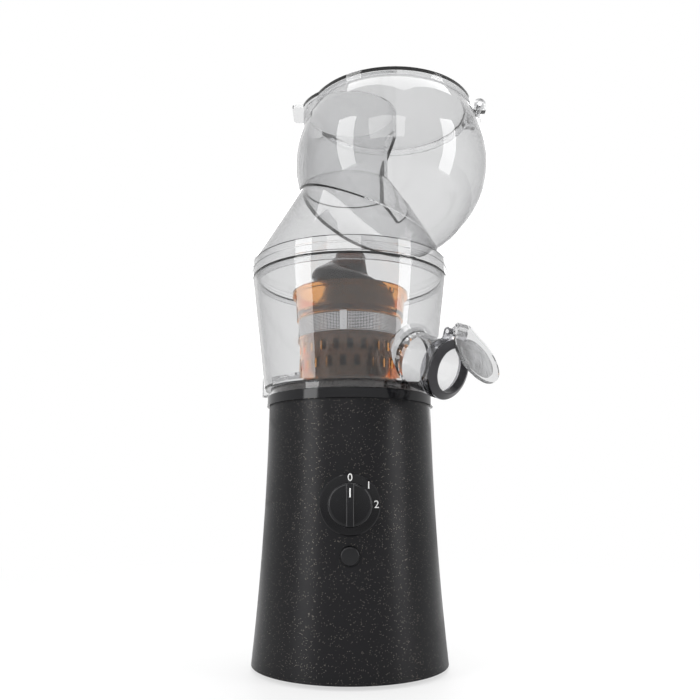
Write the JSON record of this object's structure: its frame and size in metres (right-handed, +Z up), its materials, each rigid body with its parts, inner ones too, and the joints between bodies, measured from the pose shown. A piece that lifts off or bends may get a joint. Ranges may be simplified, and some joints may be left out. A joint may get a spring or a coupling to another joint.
{
  "type": "cold press juicer",
  "caption": "Upright cold press juicer: motor base, clear juice bowl with hinged spout flap, amber strainer, black auger and clear feed hopper that lift off.",
  "frame": {"origin": "on the drive axis, in the plane of the rubber feet", "axes": "+Z up along the drive axis; -Y is the front, with the knob and button; the juice spout points to +X -Y and the feed globe leans to +X"},
  "size_m": [0.1956, 0.1847, 0.4534],
  "materials": {
    "black_satin": "satin with fine sparkle",
    "black_gloss": "glossy",
    "black_rubber": "matte",
    "dark_plastic": "matte",
    "white_nylon": "satin",
    "steel": "satin",
    "copper_stack": "matte",
    "brass": "satin",
    "circuit_board": "satin",
    "capacitor_sleeve": "glossy",
    "smoke_clear": "clear, smoke tinted",
    "smoke_floor": "smoke tinted, translucent",
    "smoke_dark": "dark smoke, translucent",
    "amber_clear": "clear, amber tinted",
    "mesh_steel": "perforated, bright",
    "grey_seal": "satin",
    "auger_black": "glossy"
  },
  "bodies": {
    "base": {"base_housing": "black_satin", "top_cover": "black_gloss", "bottom_plate": "dark_plastic", "rubber_feet": "black_rubber", "bottom_screws": "steel", "shaft_seal": "black_rubber", "motor_can": "steel", "motor_bearings": "brass", "motor_stator": "copper_stack", "motor_screws": "steel", "gearbox_tray": "dark_plastic", "gearbox_cover": "dark_plastic", "gearbox_screws": "steel", "idler_pin": "steel", "shaft_bearing": "steel", "dial_ring": "black_gloss", "rotary_switch": "dark_plastic", "button_switch": "dark_plastic", "switch_board": "circuit_board", "control_board": "circuit_board", "capacitor": "capacitor_sleeve", "power_inlet": "black_satin"},
    "output_shaft": {"drive_shaft": "steel", "output_gear": "white_nylon"},
    "compound": {"compound_gear": "white_nylon"},
    "rotor": {"motor_shaft": "steel", "rotor_core": "copper_stack", "motor_pinion": "brass", "cooling_fan": "dark_plastic"},
    "knob": {"speed_knob": "black_gloss"},
    "button": {"reverse_button": "black_gloss"},
    "bowl": {"juice_bowl": "smoke_clear", "bowl_foot": "smoke_clear", "spout_tube": "smoke_clear", "bowl_floor": "smoke_floor", "pulp_chute": "smoke_clear", "bowl_bush": "grey_seal", "spout_collar": "smoke_dark", "spout_gasket": "black_rubber", "flap_pin": "steel"},
    "coupling": {"drive_coupling": "grey_seal", "coupling_clip": "steel"},
    "flap": {"spout_flap": "smoke_clear", "flap_pad": "smoke_clear"},
    "strainer": {"strainer_frame": "amber_clear", "strainer_mesh": "mesh_steel"},
    "auger": {"auger_screw": "auger_black", "auger_insert": "steel"},
    "hopper": {"hopper_body": "smoke_clear", "feed_neck": "smoke_clear", "hopper_seal": "black_rubber", "feed_globe": "smoke_clear", "lid_hinge_pin": "steel"},
    "lid": {"feed_lid": "smoke_clear"}
  },
  "joints": [
    {"name": "drive_spin", "type": "hinge", "parent": "base", "child": "output_shaft", "pos_m": [0, 0, 0.16], "axis": [0, 0, 1], "continuous": true},
    {"name": "compound_spin", "type": "hinge", "parent": "base", "child": "compound", "pos_m": [0.03, 0, 0.125], "axis": [0, 0, 1], "continuous": true},
    {"name": "motor_spin", "type": "hinge", "parent": "base", "child": "rotor", "pos_m": [0, 0, 0.08], "axis": [0, 0, 1], "continuous": true},
    {"name": "knob_turn", "type": "hinge", "parent": "base", "child": "knob", "pos_m": [0, -0.07, 0.118], "axis": [0, 1, 0], "range_deg": [0, 90]},
    {"name": "button_press", "type": "slide", "parent": "base", "child": "button", "axis": [0, 1, 0], "range_m": [0, 0.002], "stiffness_N_per_m": 600, "springref_m": -0.0005},
    {"name": "bowl_lift", "type": "slide", "parent": "base", "child": "bowl", "axis": [0, 0, 1], "range_m": [0, 0.0413]},
    {"name": "coupling_spin", "type": "hinge", "parent": "bowl", "child": "coupling", "pos_m": [0, 0, 0.21], "axis": [0, 0, 1], "continuous": true},
    {"name": "spout_flap_swing", "type": "hinge", "parent": "bowl", "child": "flap", "pos_m": [0.0743, -0.0743, 0.23667], "axis": [-0.7071, -0.7071, 0], "range_deg": [-45, 50]},
    {"name": "hopper_lift", "type": "slide", "parent": "bowl", "child": "hopper", "axis": [0, 0, 1], "range_m": [0, 0.1413]},
    {"name": "strainer_lift", "type": "slide", "parent": "bowl", "child": "strainer", "axis": [0, 0, 1], "range_m": [0, 0.0362]},
    {"name": "auger_lift", "type": "slide", "parent": "coupling", "child": "auger", "axis": [0, 0, 1], "range_m": [0, 0.1195]},
    {"name": "lid_flip", "type": "hinge", "parent": "hopper", "child": "lid", "pos_m": [0.10947, 0, 0.4484], "axis": [0, 1, 0], "range_deg": [0, 105]}
  ],
  "couplings": [
    {"joint": "compound_spin", "follows": "drive_spin", "ratio": -3.8},
    {"joint": "motor_spin", "follows": "drive_spin", "ratio": 15.2},
    {"joint": "coupling_spin", "follows": "drive_spin", "ratio": 1},
    {"joint": "strainer_lift", "follows": "hopper_lift", "ratio": 0.25619},
    {"joint": "auger_lift", "follows": "hopper_lift", "ratio": 0.84571}
  ]
}
